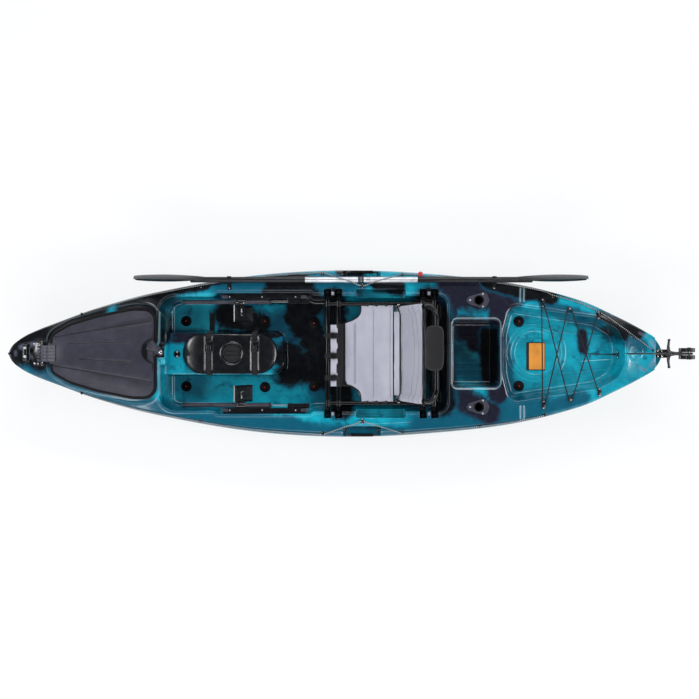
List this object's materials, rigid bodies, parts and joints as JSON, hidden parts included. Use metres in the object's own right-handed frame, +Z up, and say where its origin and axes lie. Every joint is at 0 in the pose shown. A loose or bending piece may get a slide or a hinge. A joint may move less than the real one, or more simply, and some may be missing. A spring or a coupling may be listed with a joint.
{
  "type": "fishing kayak",
  "caption": "Sit-on-top fishing kayak with bow hatch, centre pod, lift-out framed seat, foot-steered rudder, rod holders, laced tank well and stowed paddle.",
  "frame": {"origin": "middle of the flat keel below the deck's middle, where the boat rests on level ground", "axes": "+X along the boat from bow to stern, +Y to starboard, the paddle's side, +Z up"},
  "size_m": [3.3135, 0.8254, 0.7563],
  "materials": {
    "teal_hull_plastic": "rotomoulded polyethylene, teal with dark swirls",
    "black_plastic": "satin moulded plastic",
    "grey_lid_plastic": "fine textured plastic",
    "black_rubber": "matt rubber",
    "black_webbing": "woven webbing",
    "grey_sling_cloth": "woven mesh cloth",
    "charcoal_cushion_cloth": "padded woven cloth",
    "black_shock_cord": "braided cord",
    "black_anodised_tube": "black anodised tube",
    "grey_anodised_tube": "grey anodised tube",
    "silver_shaft": "bright drawn tube",
    "stainless_steel": "stainless steel"
  },
  "bodies": {
    "hull": {"hull_shell": "teal_hull_plastic", "hatch_seal": "black_rubber", "hatch_hinge_base": "black_plastic", "hatch_hinge_pin": "stainless_steel", "bow_handle": "black_plastic", "tank_lacing": "black_shock_cord", "rudder_bracket": "black_plastic", "foot_rail_port": "black_plastic", "foot_rail_starboard": "black_plastic", "gunwale_line_port": "black_shock_cord", "gunwale_line_starboard": "black_shock_cord", "paddle_keeper_aft": "black_rubber", "paddle_keeper_fore": "black_rubber", "rod_holder_port": "black_plastic", "rod_holder_starboard": "black_plastic", "side_eye_port": "black_plastic", "side_eye_starboard": "black_plastic", "tank_eye_port_aft": "black_plastic", "tank_eye_port_fore": "black_plastic", "tank_eye_rear": "black_plastic", "tank_eye_starboard_aft": "black_plastic", "tank_eye_starboard_fore": "black_plastic", "tank_knob_port": "black_plastic", "tank_knob_starboard": "black_plastic"},
    "hatch_lid": {"hatch_cover": "grey_lid_plastic", "hatch_hinge_leaf": "grey_anodised_tube"},
    "hatch_latch": {"hatch_lever": "grey_lid_plastic"},
    "handle_starboard": {"side_handle_starboard": "black_plastic"},
    "handle_port": {"side_handle_port": "black_plastic"},
    "pod_lid": {"pod_cover": "black_plastic", "pod_strap_fore": "black_webbing", "pod_strap_aft": "black_webbing", "pod_buckle_fore": "black_plastic", "pod_buckle_aft": "black_plastic"},
    "pod_port": {"pod_cap": "black_plastic"},
    "brace_starboard": {"foot_slider_starboard": "grey_anodised_tube"},
    "brace_port": {"foot_slider_port": "grey_anodised_tube"},
    "pedal_starboard": {"foot_pedal_starboard": "black_plastic"},
    "pedal_port": {"foot_pedal_port": "black_plastic"},
    "seat_base": {"seat_frame": "black_anodised_tube", "seat_sling": "grey_sling_cloth", "seat_bolt_starboard": "stainless_steel", "seat_bolt_port": "stainless_steel"},
    "seat_back": {"seat_back_frame": "black_anodised_tube", "seat_back_sling": "grey_sling_cloth", "seat_head_cushion": "charcoal_cushion_cloth"},
    "paddle_fore": {"paddle_fore_half": "silver_shaft"},
    "paddle_aft": {"paddle_aft_half": "silver_shaft"},
    "snap_button": {"paddle_button": "stainless_steel"},
    "rudder_yoke": {"rudder_head": "black_plastic", "rudder_blade_bolt": "stainless_steel"},
    "rudder_foil": {"rudder_blade": "black_plastic"},
    "plug_fore_starboard": {"scupper_plug_fore_starboard": "black_rubber"},
    "plug_fore_port": {"scupper_plug_fore_port": "black_rubber"},
    "plug_mid_starboard": {"scupper_plug_mid_starboard": "black_rubber"},
    "plug_mid_port": {"scupper_plug_mid_port": "black_rubber"},
    "plug_aft_starboard": {"scupper_plug_aft_starboard": "black_rubber"},
    "plug_aft_port": {"scupper_plug_aft_port": "black_rubber"},
    "plug_tank_starboard": {"scupper_plug_tank_starboard": "black_rubber"},
    "plug_tank_port": {"scupper_plug_tank_port": "black_rubber"}
  },
  "joints": [
    {"name": "hatch_open", "type": "hinge", "parent": "hull", "child": "hatch_lid", "pos_m": [-1.424, 0, 0.39603], "axis": [0, -1, 0], "range_deg": [0, 120]},
    {"name": "latch_swivel", "type": "hinge", "parent": "hatch_lid", "child": "hatch_latch", "pos_m": [-0.859, 0.006, 0.357], "axis": [0, 0, -1], "range_deg": [0, 105]},
    {"name": "pod_lift", "type": "slide", "parent": "hull", "child": "pod_lid", "axis": [0, 0, 1], "range_m": [0, 0.12]},
    {"name": "pod_twist", "type": "hinge", "parent": "pod_lid", "child": "pod_port", "pos_m": [-0.527, 0.0015, 0.22], "axis": [0, 0, 1], "range_deg": [0, 90]},
    {"name": "rudder_yaw", "type": "hinge", "parent": "hull", "child": "rudder_yoke", "pos_m": [1.613, 0, 0.35], "axis": [0, 0, 1], "range_deg": [-35, 35]},
    {"name": "rudder_drop", "type": "hinge", "parent": "rudder_yoke", "child": "rudder_foil", "pos_m": [1.696, 0, 0.4], "axis": [0, 1, 0], "range_deg": [0, 260]},
    {"name": "seat_lift", "type": "slide", "parent": "hull", "child": "seat_base", "axis": [0, 0, 1], "range_m": [0, 0.25]},
    {"name": "seat_recline", "type": "hinge", "parent": "seat_base", "child": "seat_back", "pos_m": [0.3, 0, 0.312], "axis": [0, -1, 0], "range_deg": [-12, 105]},
    {"name": "paddle_lift", "type": "slide", "parent": "hull", "child": "paddle_fore", "axis": [0, 0, 1], "range_m": [0, 0.15], "deforming": ["paddle_keeper_fore", "paddle_keeper_aft", "gunwale_line_starboard"]},
    {"name": "paddle_feather", "type": "hinge", "parent": "paddle_fore", "child": "paddle_aft", "pos_m": [0.115, 0.362, 0.3165], "axis": [1, 0, 0], "range_deg": [0, 60]},
    {"name": "button_press", "type": "slide", "parent": "paddle_fore", "child": "snap_button", "axis": [0, 0, -1], "range_m": [0, 0.0025], "stiffness_N_per_m": 400, "springref_m": -0.002},
    {"name": "handle_lift_starboard", "type": "hinge", "parent": "hull", "child": "handle_starboard", "pos_m": [0.12, 0.372, 0.275], "axis": [1, 0, 0], "range_deg": [0, 65]},
    {"name": "foot_push_starboard", "type": "slide", "parent": "hull", "child": "brace_starboard", "axis": [-1, 0, 0], "range_m": [-0.045, 0.045]},
    {"name": "pedal_adjust_starboard", "type": "slide", "parent": "brace_starboard", "child": "pedal_starboard", "axis": [-1, 0, 0], "range_m": [-0.08, 0.12]},
    {"name": "handle_lift_port", "type": "hinge", "parent": "hull", "child": "handle_port", "pos_m": [0.12, -0.372, 0.275], "axis": [-1, 0, 0], "range_deg": [0, 65]},
    {"name": "foot_push_port", "type": "slide", "parent": "hull", "child": "brace_port", "axis": [-1, 0, 0], "range_m": [-0.045, 0.045]},
    {"name": "pedal_adjust_port", "type": "slide", "parent": "brace_port", "child": "pedal_port", "axis": [-1, 0, 0], "range_m": [-0.08, 0.12]},
    {"name": "plug_pull_fore_starboard", "type": "slide", "parent": "hull", "child": "plug_fore_starboard", "axis": [0, 0, 1], "range_m": [0, 0.06]},
    {"name": "plug_pull_fore_port", "type": "slide", "parent": "hull", "child": "plug_fore_port", "axis": [0, 0, 1], "range_m": [0, 0.06]},
    {"name": "plug_pull_mid_starboard", "type": "slide", "parent": "hull", "child": "plug_mid_starboard", "axis": [0, 0, 1], "range_m": [0, 0.06]},
    {"name": "plug_pull_mid_port", "type": "slide", "parent": "hull", "child": "plug_mid_port", "axis": [0, 0, 1], "range_m": [0, 0.06]},
    {"name": "plug_pull_aft_starboard", "type": "slide", "parent": "hull", "child": "plug_aft_starboard", "axis": [0, 0, 1], "range_m": [0, 0.06]},
    {"name": "plug_pull_aft_port", "type": "slide", "parent": "hull", "child": "plug_aft_port", "axis": [0, 0, 1], "range_m": [0, 0.06]},
    {"name": "plug_pull_tank_starboard", "type": "slide", "parent": "hull", "child": "plug_tank_starboard", "axis": [0, 0, 1], "range_m": [0, 0.06]},
    {"name": "plug_pull_tank_port", "type": "slide", "parent": "hull", "child": "plug_tank_port", "axis": [0, 0, 1], "range_m": [0, 0.06]}
  ],
  "couplings": [
    {"joint": "foot_push_starboard", "follows": "rudder_yaw", "m_per_rad": 0.0685},
    {"joint": "foot_push_port", "follows": "rudder_yaw", "m_per_rad": -0.0685}
  ]
}
